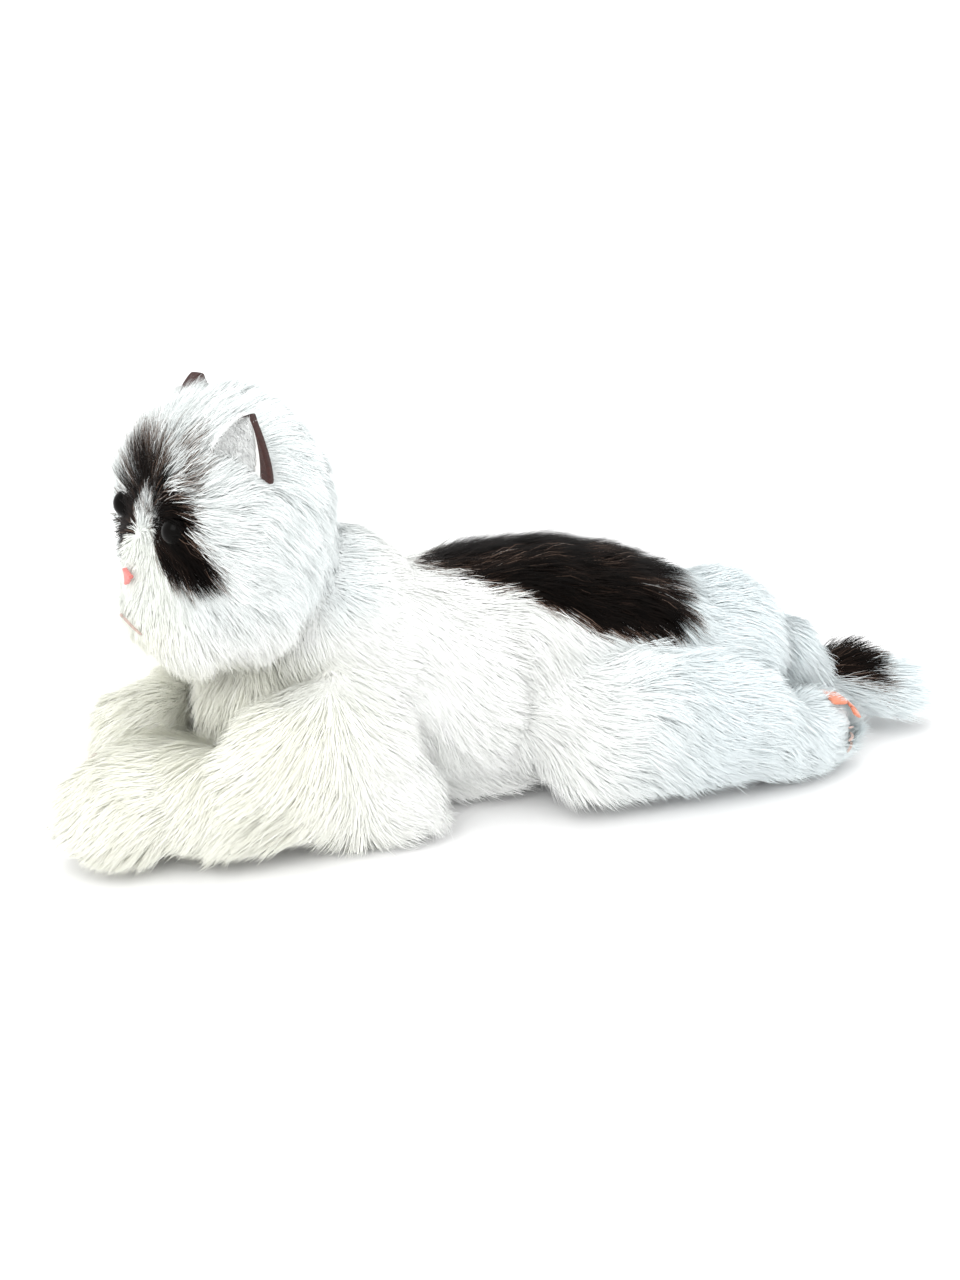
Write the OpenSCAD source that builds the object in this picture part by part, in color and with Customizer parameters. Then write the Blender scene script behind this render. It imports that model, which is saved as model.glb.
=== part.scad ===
/* [Body] */
// Half of the trunk's natural width at the waist
waist_half = 55; // [48:1:58]
// Half of the trunk's width where a leg lies against it
flank_half = 44.5; // [42:0.5:46]
// Height of the back at its highest
back_h = 121; // [112:1:124]
// Thickness of the flat belly panel
belly_t = 8; // [6:1:9]

/* [Pile fabric] */
// Thickness of the fabric with its pile pressed down
pile_t = 10; // [7:0.5:11]
// Room left between the fabric and the stuffing
stuffing_gap = 1.2; // [1:0.1:2]
// Width of a seam between two panels, in degrees round the limb or trunk
seam_deg = 0.5; // [0.3:0.1:1]

/* [Head] */
// Half of the head's width, with its cheek fur
head_half_w = 60; // [56:1:62]
// Half of the head's depth from brow to nape
head_half_d = 50; // [47:1:52]
// Half of the head's height
head_half_h = 64; // [60:1:66]
// Turn of the face to the cat's left, in degrees
face_turn = 18; // [0:1:20]
// Radius of the eye's dome
eye_r = 6.5; // [5:0.5:7]

/* [Ears] */
// Width of an ear at its base
ear_w = 34; // [28:1:36]
// Height of an ear above its base
ear_h = 30; // [24:1:32]
// Thickness of one layer of the ear
ear_t = 2.4; // [1.8:0.1:2.6]

/* [Legs and tail] */
// Radius of the tail with its fur
tail_r = 17; // [15:0.5:17.5]
// Height of a front paw
paw_h = 58; // [52:1:60]
// Length of the right front paw as a share of the left one, since it is tucked back
tucked_paw = 0.62; // [0.55:0.01:0.8]
// Radius of a stitched thread
thread_r = 0.7; // [0.5:0.1:1]

/* [Hidden] */

white_fur = "ivory";
dark_fur = "#3a2c26";
blaze_fur = "#c9c1ba";
polyester = "whitesmoke";
ear_velvet = "#4a2620";
pad_pink = "#e0855f";
nose_pink = "#f0908c";
eye_black = "#120e0c";
thread_tan = "#c9a87c";

// Centres that the joints turn about
neck_c = [0, -118, 128];
tail_c = [0, 147, 52];
tail_bend_c = [0, 181, 28];
// Spherical layers round the neck's centre: head, neck, trunk
head_ball_r = 46;
neck_in_r = 46.6;
neck_mid_r = 51;
neck_out_r = 54.8;
trunk_cup_r = 57;
tail_cup_r = tail_r + 2;
// Inner faces of the legs, which lie flat against the trunk
leg_face_x = 45;
paw_face_x = 0.4;
foot_face_x = 22;

// Trunk stations from chest to rump: y, natural half width, top, bottom
trunk_front = -146;
trunk_rear = 138;
trunk = [
    [-146, 0, 46, 45.9], [-144, 17, 61, 28], [-138, 30, 73, 16], [-128, 42, 82, 10],
    [-115, 52, 92, 8.4], [-96, 56, 98, 8.4], [-76, 56, 104, 8.4], [-62, 55, 110, 8.4],
    [-54, 54, 117, 8.4], [-40, 54, 118, 8.4], [-16, 55, back_h - 1, 8.4],
    [12, waist_half, back_h, 8.4], [32, 54, 119, 8.4],
    [39, 54, 117.5, 8.4], [60, 54, 111, 8.4], [82, 53, 102, 8.4], [102, 49, 91, 8.4],
    [118, 42, 81, 9], [128, 33, 73, 14], [134, 23, 66, 22], [138, 0, 46, 45.9]];
trunk_ys = [
    -146, -144, -138, -128, -115, -105, -96, -86, -76, -72, -69, -65, -62, -54, -40, -26, -12, 4, 20, 32, 39, 60, 78, 96,
    108, 118, 128, 134, 138];
panel_ys = [for (y = trunk_ys) if (y >= -128 && y <= 118) y];

// Leg stations: y, centre x, centre z, half width, half height
foreleg = [
    [-217.5, 30, 24, 0, 0], [-215.5, 30, 25, 13, 14], [-210, 30, 27, 23, 23],
    [-198, 30, 29, 29, 28], [-182, 31, paw_h / 2, 31, paw_h / 2], [-168, 34, 30, 33, 30],
    [-156, 43, 31, 28, 31], [-148, 53, 34, 19, 34], [-135, 57, 40, 16, 40],
    [-120, 57, 46, 15, 46], [-105, 57, 47, 15, 47.5], [-90, 57, 47, 15, 46],
    [-75, 56, 46.5, 14, 38], [-64, 55, 46, 12, 27], [-57, 53, 46, 8, 13],
    [-54.5, 51, 46, 0, 0]];
hindleg = [
    [-2, 52, 30, 0, 0], [1, 54, 30, 7, 10], [10, 56, 32, 11, 20], [26, 57, 36, 13.5, 31],
    [48, 57, 41, 15, 40], [70, 57, 43, 15, 42.5], [90, 57, 41, 15, 40.5], [108, 56, 36, 15.5, 36],
    [122, 54, 30, 17, 30], [134, 50, 25, 19, 25], [142, 46, 22, 23, 22], [152, 43, 21, 22, 21],
    [162, 42, 20.5, 19, 19], [169, 42, 20, 13, 13], [172, 42, 19, 0, 0]];
tail_base = [
    [130, 0, 52, 0, 0], [132, 0, 52, 0.47 * tail_r, 0.47 * tail_r],
    [137, 0, 52, 0.8 * tail_r, 0.8 * tail_r], [142, 0, 52, 0.95 * tail_r, 0.95 * tail_r],
    [147, 0, 52, tail_r, tail_r], [154, 0, 48, 1.03 * tail_r, 1.1 * tail_r],
    [162, 0, 42, 1.03 * tail_r, 1.16 * tail_r], [172, 0, 34.5, tail_r, 1.08 * tail_r]];
tail_end = [
    [164, 0, 28, 0, 0], [166, 0, 28, 0.47 * tail_r, 0.47 * tail_r],
    [171, 0, 28, 0.8 * tail_r, 0.8 * tail_r], [176, 0.5, 27, 0.95 * tail_r, 0.95 * tail_r],
    [181, 1, 25.5, tail_r, tail_r], [190, 3, 22, 1.05 * tail_r, 1.05 * tail_r],
    [200, 5, 20, 1.05 * tail_r, 1.05 * tail_r], [208, 7, 19, 0.94 * tail_r, 0.94 * tail_r],
    [214, 8, 18.5, 0.65 * tail_r, 0.65 * tail_r], [217.5, 8, 18, 0, 0]];

ring_n = 24;
// Angle that the saddle patch covers on each side of the back's middle
saddle = [
    [-26, 1], [-12, 24], [4, 38], [20, 47], [32, 52], [39, 55], [60, 62], [78, 54], [96, 1]];
// Angle below the horizontal at which a side panel meets the belly panel
belly_seam = 72;

// ---- Points ----

function column(table, c) = [for (s = table) [s[0], s[c]]];
function at(table, c, y) = lookup(y, column(table, c));
function rounded(c, power) = sign(c) * pow(abs(c), 2 / power);
function unit(v) = v / norm(v);
// A value held at a limit, with a trace of its slope left so that no two points meet
function at_least(x, limit) = x >= limit ? x : limit + 0.002 * (x - limit);
function at_most(x, limit) = -at_least(-x, -limit);

// A point kept under the neck's ball, and one kept in front of a ball of the tail
function under_ball(p, c, r) =
    let (q = p - c, flat = q[0] * q[0] + q[1] * q[1])
    flat >= r * r ? p : [p[0], p[1], min(p[2], c[2] - sqrt(r * r - flat))];
function before_ball(p, c, r) =
    let (q = p - c, flat = q[0] * q[0] + q[2] * q[2])
    flat >= r * r ? p : [p[0], min(p[1], c[1] - sqrt(r * r - flat)), p[2]];
function beside_leg(y) = y <= -54 || (y >= -12 && y < 126);

// Trunk surface at station y and angle v, at a depth below the outer surface
function trunk_at(y, v, depth) =
    let (top = at(trunk, 2, y), low = at(trunk, 3, y), h = (top - low) / 2,
         share = 1 - depth / waist_half,
         share_z = 1 - depth / 56 * min(1, (1 + sin(v)) / (1 - sin(belly_seam))),
         mid = (trunk_front + trunk_rear) / 2,
         natural = at(trunk, 1, y) * share * rounded(cos(v), 2.3),
         flank = flank_half - depth,
         x = beside_leg(y) ? at_least(at_most(natural, flank), -flank) : natural,
         z = (top + low) / 2 + h * share_z * rounded(sin(v), 2.3),
         p = [x, mid + (y - mid) * (1 - 2 * depth / (trunk_rear - trunk_front)),
              at_least(z, belly_t + 0.35)])
    before_ball(under_ball(p, neck_c, trunk_cup_r + depth), tail_c, tail_cup_r + 1.5 + depth);

// Leg or tail surface, for a table of stations
function limb_at(table, y, v, depth, face) =
    let (rx = at(table, 3, y), rz = at(table, 4, y), share = 1 - depth / 30,
         first = table[0][0], last = table[len(table) - 1][0], mid = (first + last) / 2,
         x = at(table, 1, y) + rx * share * rounded(cos(v), 2.2),
         z = at(table, 2, y) + rz * share * rounded(sin(v), 2.2))
    [at_least(x, face + depth), mid + (y - mid) * (1 - 2 * depth / (last - first)),
     at_least(z, depth + 0.05)];
function foreleg_face(y) = y > -154 ? leg_face_x : paw_face_x;
function hindleg_face(y) = y < 140 ? leg_face_x : foot_face_x;
function foreleg_at(y, v, depth) = limb_at(foreleg, y, v, depth, foreleg_face(y));
function hindleg_at(y, v, depth) = limb_at(hindleg, y, v, depth, hindleg_face(y));
function tail_at(table, y, v, depth) =
    let (share = 1 - depth / tail_r, first = table[0][0], last = table[len(table) - 1][0],
         mid = (first + last) / 2)
    [at(table, 1, y) + at(table, 3, y) * share * cos(v),
     mid + (y - mid) * (1 - 2 * depth / (last - first)),
     at_least(at(table, 2, y) + at(table, 4, y) * share * sin(v), 0.2 + depth)];
function tail_base_at(y, v, depth) =
    let (p = tail_at(tail_base, y, v, depth)) before_ball(p, tail_bend_c, tail_cup_r);
function tail_end_at(y, v, depth) = tail_at(tail_end, y, v, depth);

// Head: a distance from the neck's centre for each direction
head_c = [0, -130, 145];
head_half = [head_half_w, head_half_d, head_half_h];
muzzle_c = neck_c + [47 * sin(face_turn - 1), -47 * cos(face_turn - 1), -8];
muzzle_half = [25, 17, 21];
face_dir = unit([sin(face_turn), -cos(face_turn), -0.06]);
face_side = unit(cross([0, 0, 1], face_dir));
face_up = cross(face_dir, face_side);
neck_dir = unit([0, 0.68, -0.73]);
// Distance at which a ray from the neck's centre leaves an ellipsoid, or 0 if it misses
function ray_out(d, c, half) =
    let (o = [for (i = [0:2]) (neck_c[i] - c[i]) / half[i]], e = [for (i = [0:2]) d[i] / half[i]],
         a = e * e, b = o * e, g = o * o - 1, disc = b * b - a * g)
    disc < 0 ? 0 : (-b + sqrt(disc)) / a;
function ball_limit(polar) =
    polar < 60 ? head_ball_r : polar < 72 ? head_ball_r + (polar - 60) * 0.75 : 55 + (polar - 72) * 4;
function head_r(d) =
    min(max(ray_out(d, head_c, head_half), ray_out(d, muzzle_c, muzzle_half)),
        ball_limit(acos(max(-1, min(1, d * neck_dir)))));
function face_dir_at(a, b) = cos(a) * face_dir + sin(a) * (cos(b) * face_up + sin(b) * face_side);
function head_at(a, b, depth) = let (d = face_dir_at(a, b)) neck_c + (head_r(d) - depth) * d;

// ---- Solids from points ----

// A closed solid through rings of points, with a single point at each end
module ring_solid(first, rings, last) {
    n = len(rings[0]);
    m = len(rings);
    end = 1 + m * n;
    polyhedron(
        points = concat([first], [for (r = rings) each r], [last]),
        faces = concat(
            [for (j = [0:n - 1]) [0, 1 + j, 1 + (j + 1) % n]],
            [for (i = [0:m - 2], j = [0:n - 1]) each
                let (a = 1 + i * n + j, b = 1 + i * n + (j + 1) % n, c = a + n, d = b + n)
                [[a, c, b], [b, c, d]]],
            [for (j = [0:n - 1]) [end, end - n + (j + 1) % n, end - n + j]]),
        convexity = 8);
}

// A closed slab between two grids of points, one above the other
module slab(above, below) {
    m = len(above);
    n = len(above[0]);
    s = m * n;
    function p(i, j) = i * n + j;
    polyhedron(
        points = concat([for (r = above) each r], [for (r = below) each r]),
        faces = concat(
            [for (i = [0:m - 2], j = [0:n - 2]) each
                [[p(i, j), p(i, j + 1), p(i + 1, j)], [p(i, j + 1), p(i + 1, j + 1), p(i + 1, j)]]],
            [for (i = [0:m - 2], j = [0:n - 2]) each
                [[s + p(i, j), s + p(i + 1, j), s + p(i, j + 1)],
                 [s + p(i, j + 1), s + p(i + 1, j), s + p(i + 1, j + 1)]]],
            [for (i = [0:m - 2]) each
                [[p(i, 0), p(i + 1, 0), s + p(i, 0)], [s + p(i, 0), p(i + 1, 0), s + p(i + 1, 0)]]],
            [for (i = [0:m - 2]) each
                [[p(i, n - 1), s + p(i, n - 1), p(i + 1, n - 1)],
                 [s + p(i, n - 1), s + p(i + 1, n - 1), p(i + 1, n - 1)]]],
            [for (j = [0:n - 2]) each
                [[p(0, j), s + p(0, j), p(0, j + 1)], [s + p(0, j), s + p(0, j + 1), p(0, j + 1)]]],
            [for (j = [0:n - 2]) each
                [[p(m - 1, j), p(m - 1, j + 1), s + p(m - 1, j)],
                 [s + p(m - 1, j), p(m - 1, j + 1), s + p(m - 1, j + 1)]]]),
        convexity = 8);
}

function turn(n) = [for (j = [0:n - 1]) 360 * j / n];
function span(a, b, n) = [for (i = [0:n]) a + (b - a) * i / n];

// A bag of fabric, closed at the first station and open at the last
module bag(stations, place, depth) {
    outer = [for (i = [1:len(stations) - 1]) [for (v = turn(ring_n)) place(stations[i], v, 0)]];
    inner = [for (i = [len(stations) - 1:-1:1]) [for (v = turn(ring_n)) place(stations[i], v, depth)]];
    ring_solid(place(stations[0], 0, 0), concat(outer, inner), place(stations[0], 0, depth));
}

// The stuffing inside, closed at both ends
module stuffed(stations, place, depth) {
    last = len(stations) - 1;
    rings = [for (i = [1:last - 1]) [for (v = turn(ring_n)) place(stations[i], v, depth)]];
    ring_solid(place(stations[0], 0, depth), rings, place(stations[last], 0, depth));
}

// A panel of fabric between two stations, from angle lo(station) to angle hi(station)
module panel(stations, place, depth, lo, hi, cells) {
    function row(s, d) = [for (v = span(lo(s), hi(s), cells)) place(s, v, d)];
    slab([for (s = stations) row(s, 0)], [for (s = stations) row(s, depth)]);
}

// Turns +Z to a direction
module along(d) {
    rotate([0, acos(d[2] / norm(d)), atan2(d[1], d[0])]) children();
}

// ---- Trunk ----

function side_top(y) = 90 - seam_deg - (y < -26 || y > 96 ? 0 : lookup(y, saddle));

module side_panel_left() {
    low = function(y) -belly_seam;
    high = function(y) side_top(y);
    color(white_fur) panel(panel_ys, function(y, v, d) trunk_at(y, v, d), pile_t, low, high, 12);
}

module side_panel_right() {
    color(white_fur) mirror([1, 0, 0]) side_panel_left();
}

module chest_panel() {
    ys = [-146, -144, -138, -128.6];
    color(white_fur) bag(ys, function(y, v, d) trunk_at(y, v, d), pile_t);
}

module rump_panel() {
    ys = [138, 134, 128, 118.6];
    color(white_fur) bag(ys, function(y, v, d) trunk_at(y, v, d), pile_t);
}

module belly_panel() {
    ys = [for (y = [-122:12:118]) y];
    function half(y) = min(flank_half - 1, 0.8 * at(trunk, 1, y));
    edge = [for (y = ys) [half(y), y]];
    back = [for (i = [len(ys) - 1:-1:0]) [-half(ys[i]), ys[i]]];
    color(white_fur) linear_extrude(belly_t) polygon(concat(edge, back));
}

module saddle_patch() {
    ys = [for (y = panel_ys) if (y >= -26 && y <= 96) y];
    low = function(y) 90 - lookup(y, saddle) + seam_deg;
    high = function(y) 90 + lookup(y, saddle) - seam_deg;
    color(dark_fur) panel(ys, function(y, v, d) trunk_at(y, v, d), pile_t, low, high, 12);
}

module torso_stuffing() {
    color(polyester)
        stuffed(trunk_ys, function(y, v, d) trunk_at(y, v, d), pile_t + 4 * stuffing_gap);
}

// ---- Neck: two layers of a ball between the trunk's cup and the head ----

module neck_layer(inner_r, outer_r) {
    reach = 60;
    half_angle = 50;
    translate(neck_c) along(neck_dir) intersection() {
        difference() {
            sphere(r = outer_r, $fn = 64);
            sphere(r = inner_r, $fn = 64);
        }
        cylinder(h = reach, r1 = 0, r2 = reach * tan(half_angle), $fn = 64);
    }
}

module neck_skin() {
    color(white_fur) neck_layer(neck_mid_r, neck_out_r);
}

module neck_stuffing() {
    color(polyester) neck_layer(neck_in_r + 1.6, neck_mid_r - 0.4);
}

// ---- Head ----

muzzle_edge = 17;
mask_edge = 52;
crown_edge = 100;
blaze_side = 10;
mask_side = 105;

module face_panel(from, to, left, right, cells) {
    rows = span(from + seam_deg, to, 5);
    panel(rows, function(a, b, d) head_at(a, b, d), pile_t, function(a) left + seam_deg,
        function(a) right - seam_deg, cells);
}

module muzzle_panel() {
    color(white_fur) bag([0, 5, 9, 13, muzzle_edge], function(a, b, d) head_at(a, b, d), pile_t);
}

module forehead_blaze() {
    color(blaze_fur) face_panel(muzzle_edge, mask_edge, -blaze_side, blaze_side, 3);
}

eye_a = 38;
eye_b = 38;
eye_depth = 4;
stem_r = 2.2;

// Everything at an eye's place, +Z outwards, with z = 0 on the fur's surface
module at_eye(side) {
    d = face_dir_at(eye_a, side * eye_b);
    translate(head_at(eye_a, side * eye_b, 0)) along(d) children();
}

module eye_hole() {
    translate([0, 0, -eye_depth - 2.2]) cylinder(h = 20, r = eye_r + 0.3, $fn = 32);
    translate([0, 0, -20]) cylinder(h = 20, r = stem_r + 0.3, $fn = 24);
}

module mask(side) {
    near = side > 0 ? blaze_side : -mask_side;
    difference() {
        face_panel(muzzle_edge, mask_edge, near, near + mask_side - blaze_side, 9);
        at_eye(side) eye_hole();
    }
}

module mask_left() {
    color(dark_fur) mask(1);
}

module mask_right() {
    color(dark_fur) mask(-1);
}

module eye(side) {
    at_eye(side) {
        intersection() {
            translate([0, 0, -eye_depth]) sphere(r = eye_r, $fn = 48);
            translate([0, 0, -eye_depth - 2]) cylinder(h = 12, r = eye_r + 1, $fn = 32);
        }
        translate([0, 0, -19]) cylinder(h = 19 - eye_depth - 1, r = stem_r, $fn = 24);
    }
}

module eye_left() {
    color(eye_black) eye(1);
}

module eye_right() {
    color(eye_black) eye(-1);
}

module washer(side) {
    at_eye(side) translate([0, 0, -15.8]) difference() {
        cylinder(h = 1.5, r = 8, $fn = 32);
        translate([0, 0, -1]) cylinder(h = 4, r = stem_r + 0.15, $fn = 24);
    }
}

module eye_washer_left() {
    color("white") washer(1);
}

module eye_washer_right() {
    color("white") washer(-1);
}

module chin_panel() {
    color(white_fur) face_panel(muzzle_edge, mask_edge, mask_side, 360 - mask_side, 12);
}

module crown_panel() {
    color(white_fur) face_panel(mask_edge, crown_edge, -35, 35, 6);
}

module cheek_left() {
    color(white_fur) face_panel(mask_edge, crown_edge, 35, 140, 9);
}

module cheek_right() {
    color(white_fur) face_panel(mask_edge, crown_edge, -140, -35, 9);
}

module throat_panel() {
    color(white_fur) face_panel(mask_edge, crown_edge, 140, 220, 7);
}

module head_back_panel() {
    rows = [180, 168, 156, 144, 132, 120, 110, crown_edge + seam_deg];
    color(white_fur) bag(rows, function(a, b, d) head_at(a, b, d), pile_t);
}

module head_stuffing() {
    rows = [180, 168, 156, 144, 132, 120, 110, 100, 90, 80, 71, 61, 52, 43, 34, 26, 17, 9, 0];
    color(polyester) difference() {
        stuffed(rows, function(a, b, d) head_at(a, b, d), pile_t + stuffing_gap);
        for (side = [-1, 1]) at_eye(side) {
            translate([0, 0, -20]) cylinder(h = 20, r = stem_r + 0.3, $fn = 24);
            translate([0, 0, -16.4]) cylinder(h = 16, r = 8.4, $fn = 32);
        }
    }
}

// A direction a little to the side of and above the face's middle, in degrees
function face_point(x, y, depth) =
    let (d = unit(face_dir + tan(x) * face_side + tan(y) * face_up))
    neck_c + (head_r(d) - depth) * d;

module nose() {
    d = unit(face_dir + tan(4) * face_up);
    place = neck_c + (head_r(d) + 1.4) * d;
    color(nose_pink) translate(place) along(d) rotate(atan2(face_side[1], face_side[0]))
        linear_extrude(3) hull() {
            for (p = [[-3.4, 3.4], [-3.4, -3.4], [3, 0]])
                rotate(-face_turn * 2) translate(p) circle(r = 1.6, $fn = 20);
        }
}

module mouth_line(line, side) {
    half = 0.6 * side;
    function row(p, depth) = [for (y = [half, -half]) face_point(p[0], p[1] + y, depth)];
    slab([for (p = line) row(p, -0.2 - 2 * thread_r)], [for (p = line) row(p, -0.2)]);
}

module mouth_stitch() {
    color(nose_pink) {
        for (side = [-1, 1])
            mouth_line([for (t = [0:4]) [side * (0.6 + 2.4 * t), -9 - 0.35 * t * t]], side);
    }
}

// ---- Ears ----

ear_base = [45.5, -135, 191];
ear_along = unit([0.67, 0.55, -0.49]);
ear_up = unit([0.375, 0.31, 0.87] - ([0.375, 0.31, 0.87] * ear_along) * ear_along);
ear_out = cross(ear_along, ear_up);

module at_ear() {
    m = [for (i = [0:2]) [ear_along[i], ear_up[i], ear_out[i], ear_base[i]]];
    multmatrix(concat(m, [[0, 0, 0, 1]])) children();
}

// Outline of an ear: a triangle with bowed sides and a round tip
function ear_outline(w, h, low) =
    concat([[-w / 2, low]],
        [for (t = [0.2:0.2:0.8]) [-w / 2 * (1 - t) - 1.6 * sin(180 * t), low + (h - 2 - low) * t]],
        [for (a = [150:-30:30]) [2.6 * cos(a), h - 2.6 + 2.6 * sin(a)]],
        [for (t = [0.8:-0.2:0.2]) [w / 2 * (1 - t) + 1.6 * sin(180 * t), low + (h - 2 - low) * t]],
        [[w / 2, low]]);

module ear_back(w) {
    at_ear() {
        translate([0, 0, -ear_t]) linear_extrude(ear_t - 0.1) polygon(ear_outline(w, ear_h, 0));
        translate([-w / 2, 0, 0]) rotate([0, 90, 0]) cylinder(h = w, r = ear_t, $fn = 32);
    }
}

module ear_front(w) {
    at_ear() linear_extrude(ear_t) polygon(ear_outline(w - 3, ear_h - 2, ear_t + 0.3));
}

module ear_back_left() {
    color(ear_velvet) ear_back(ear_w);
}

module ear_front_left() {
    color(white_fur) ear_front(ear_w);
}

module ear_back_right() {
    mirror([1, 0, 0]) ear_back_left();
}

module ear_front_right() {
    mirror([1, 0, 0]) ear_front_left();
}

// ---- Front legs ----

foreleg_ys = [for (s = foreleg) s[0]];
paw_seam = -162;

// A point of a paw that is tucked back behind its seam
function tucked(p) =
    [p[0], p[1] < paw_seam ? paw_seam + (p[1] - paw_seam) * tucked_paw : p[1], p[2]];

module foreleg_skin_left() {
    ys = concat([for (i = [len(foreleg_ys) - 1:-1:0]) if (foreleg_ys[i] > paw_seam) foreleg_ys[i]],
        [paw_seam + 0.3]);
    color(white_fur) bag(ys, function(y, v, d) foreleg_at(y, v, d), pile_t);
}

module paw_skin(place) {
    ys = concat([for (y = foreleg_ys) if (y < paw_seam) y], [paw_seam - 0.3]);
    color(white_fur) bag(ys, place, pile_t);
}

module foreleg_stuffing(place) {
    color(polyester) stuffed(foreleg_ys, place, pile_t + stuffing_gap);
}

// A line of thread along a leg's surface at angle v
module thread(stations, place, v) {
    half = 2.2;
    function row(y, d) = [place(y, v - half, d), place(y, v + half, d)];
    slab([for (y = stations) row(y, -0.2 - 2 * thread_r)], [for (y = stations) row(y, -0.2)]);
}

module paw_stitches(place) {
    color(thread_tan) for (v = [55, 90, 125]) thread([-214, -210, -204], place, v);
}

module paw_skin_left() {
    paw_skin(function(y, v, d) foreleg_at(y, v, d));
}

module foreleg_stuffing_left() {
    foreleg_stuffing(function(y, v, d) foreleg_at(y, v, d));
}

module paw_stitches_left() {
    paw_stitches(function(y, v, d) foreleg_at(y, v, d));
}

module foreleg_skin_right() {
    mirror([1, 0, 0]) foreleg_skin_left();
}

module paw_skin_right() {
    mirror([1, 0, 0]) paw_skin(function(y, v, d) tucked(foreleg_at(y, v, d)));
}

module foreleg_stuffing_right() {
    mirror([1, 0, 0]) foreleg_stuffing(function(y, v, d) tucked(foreleg_at(y, v, d)));
}

module paw_stitches_right() {
    mirror([1, 0, 0]) paw_stitches(function(y, v, d) tucked(foreleg_at(y, v, d)));
}

// ---- Hind legs ----

hindleg_ys = [for (s = hindleg) s[0]];
foot_seam = 130;

module thigh_skin_left() {
    ys = concat([for (y = hindleg_ys) if (y < foot_seam) y], [foot_seam - 0.3]);
    color(white_fur) bag(ys, function(y, v, d) hindleg_at(y, v, d), pile_t);
}

module foot_skin_left() {
    ys = concat([for (i = [len(hindleg_ys) - 1:-1:0]) if (hindleg_ys[i] > foot_seam) hindleg_ys[i]],
        [foot_seam + 0.3]);
    color(white_fur) bag(ys, function(y, v, d) hindleg_at(y, v, d), pile_t);
}

module hindleg_stuffing_left() {
    color(polyester) stuffed(hindleg_ys, function(y, v, d) hindleg_at(y, v, d),
        pile_t + stuffing_gap);
}

// A low pad on the leg's surface, over stations and between two angles
module pad(stations, left, right, low, high) {
    vs = span(left, right, 6);
    slab([for (y = stations) [for (v = vs) hindleg_at(y, v, -high)]],
        [for (y = stations) [for (v = vs) hindleg_at(y, v, -low)]]);
}

module sole_left() {
    color(white_fur) pad([144, 152, 162, 169, 170.5], 45, 135, 0.4, 1.4);
}

module toe_pads_left() {
    color(pad_pink) {
        pad([152.5, 157, 161.5], 70, 110, 1.8, 3.8);
        for (v = [55, 73, 91, 109]) pad([163.5, 166, 168.5], v, v + 14, 1.8, 3.4);
    }
}

module foot_stitches_left() {
    color(thread_tan) for (v = [20, 0, -20])
        thread([164, 169, 170.5], function(y, v, d) hindleg_at(y, v, d), v);
}

module thigh_skin_right() {
    mirror([1, 0, 0]) thigh_skin_left();
}

module foot_skin_right() {
    mirror([1, 0, 0]) foot_skin_left();
}

module hindleg_stuffing_right() {
    mirror([1, 0, 0]) hindleg_stuffing_left();
}

module sole_right() {
    mirror([1, 0, 0]) sole_left();
}

module toe_pads_right() {
    mirror([1, 0, 0]) toe_pads_left();
}

module foot_stitches_right() {
    mirror([1, 0, 0]) foot_stitches_left();
}

// ---- Tail ----

tail_skin_t = 6;
patch_from = 176;
patch_to = 199;

module tail_base_skin() {
    color(white_fur) bag([for (s = tail_base) s[0]], function(y, v, d) tail_base_at(y, v, d),
        tail_skin_t);
}

module tail_base_stuffing() {
    ys = concat([for (s = tail_base) s[0]], [172.01]);
    color(polyester) stuffed(ys, function(y, v, d) y > 172 ? before_ball([0, 172, 31],
        tail_bend_c, tail_cup_r) : tail_base_at(y, v, d), tail_skin_t + 0.6);
}

module tail_bend_skin() {
    color(white_fur) bag([164, 166, 171, patch_from - 0.3],
        function(y, v, d) tail_end_at(y, v, d), tail_skin_t);
}

module tail_patch() {
    color(dark_fur) panel([patch_from, 181, 190, patch_to], function(y, v, d) tail_end_at(y, v, d),
        tail_skin_t, function(y) 30, function(y) 170, 8);
}

module tail_skin() {
    color(white_fur) panel([patch_from, 181, 190, patch_to], function(y, v, d) tail_end_at(y, v, d),
        tail_skin_t, function(y) 171, function(y) 389, 12);
}

module tail_tip() {
    color(white_fur) bag([217.5, 214, 208, patch_to + 0.3],
        function(y, v, d) tail_end_at(y, v, d), tail_skin_t);
}

module tail_stuffing() {
    ys = [164, 166, 171, patch_from, 181, 190, patch_to, 208, 214, 217.5];
    color(polyester) stuffed(ys, function(y, v, d) tail_end_at(y, v, d),
        tail_skin_t + 0.6);
}

side_panel_left();
side_panel_right();
chest_panel();
rump_panel();
belly_panel();
saddle_patch();
torso_stuffing();
neck_skin();
neck_stuffing();
muzzle_panel();
forehead_blaze();
mask_left();
mask_right();
chin_panel();
cheek_left();
cheek_right();
crown_panel();
throat_panel();
head_back_panel();
head_stuffing();
eye_left();
eye_right();
eye_washer_left();
eye_washer_right();
nose();
mouth_stitch();
ear_front_left();
ear_back_left();
ear_front_right();
ear_back_right();
foreleg_skin_left();
paw_skin_left();
foreleg_stuffing_left();
paw_stitches_left();
foreleg_skin_right();
paw_skin_right();
foreleg_stuffing_right();
paw_stitches_right();
thigh_skin_left();
foot_skin_left();
hindleg_stuffing_left();
sole_left();
toe_pads_left();
foot_stitches_left();
thigh_skin_right();
foot_skin_right();
hindleg_stuffing_right();
sole_right();
toe_pads_right();
foot_stitches_right();
tail_base_skin();
tail_base_stuffing();
tail_bend_skin();
tail_patch();
tail_skin();
tail_tip();
tail_stuffing();
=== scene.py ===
"""A plush cat lying down: soft hides, long pile, ears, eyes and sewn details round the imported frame."""

import math

import bpy
import numpy as np
from bpy.props import (
    FloatProperty,
    FloatVectorProperty,
    IntProperty,
    PointerProperty,
)
from mathutils import Matrix, Vector
from mathutils.bvhtree import BVHTree
from mathutils.kdtree import KDTree


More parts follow.
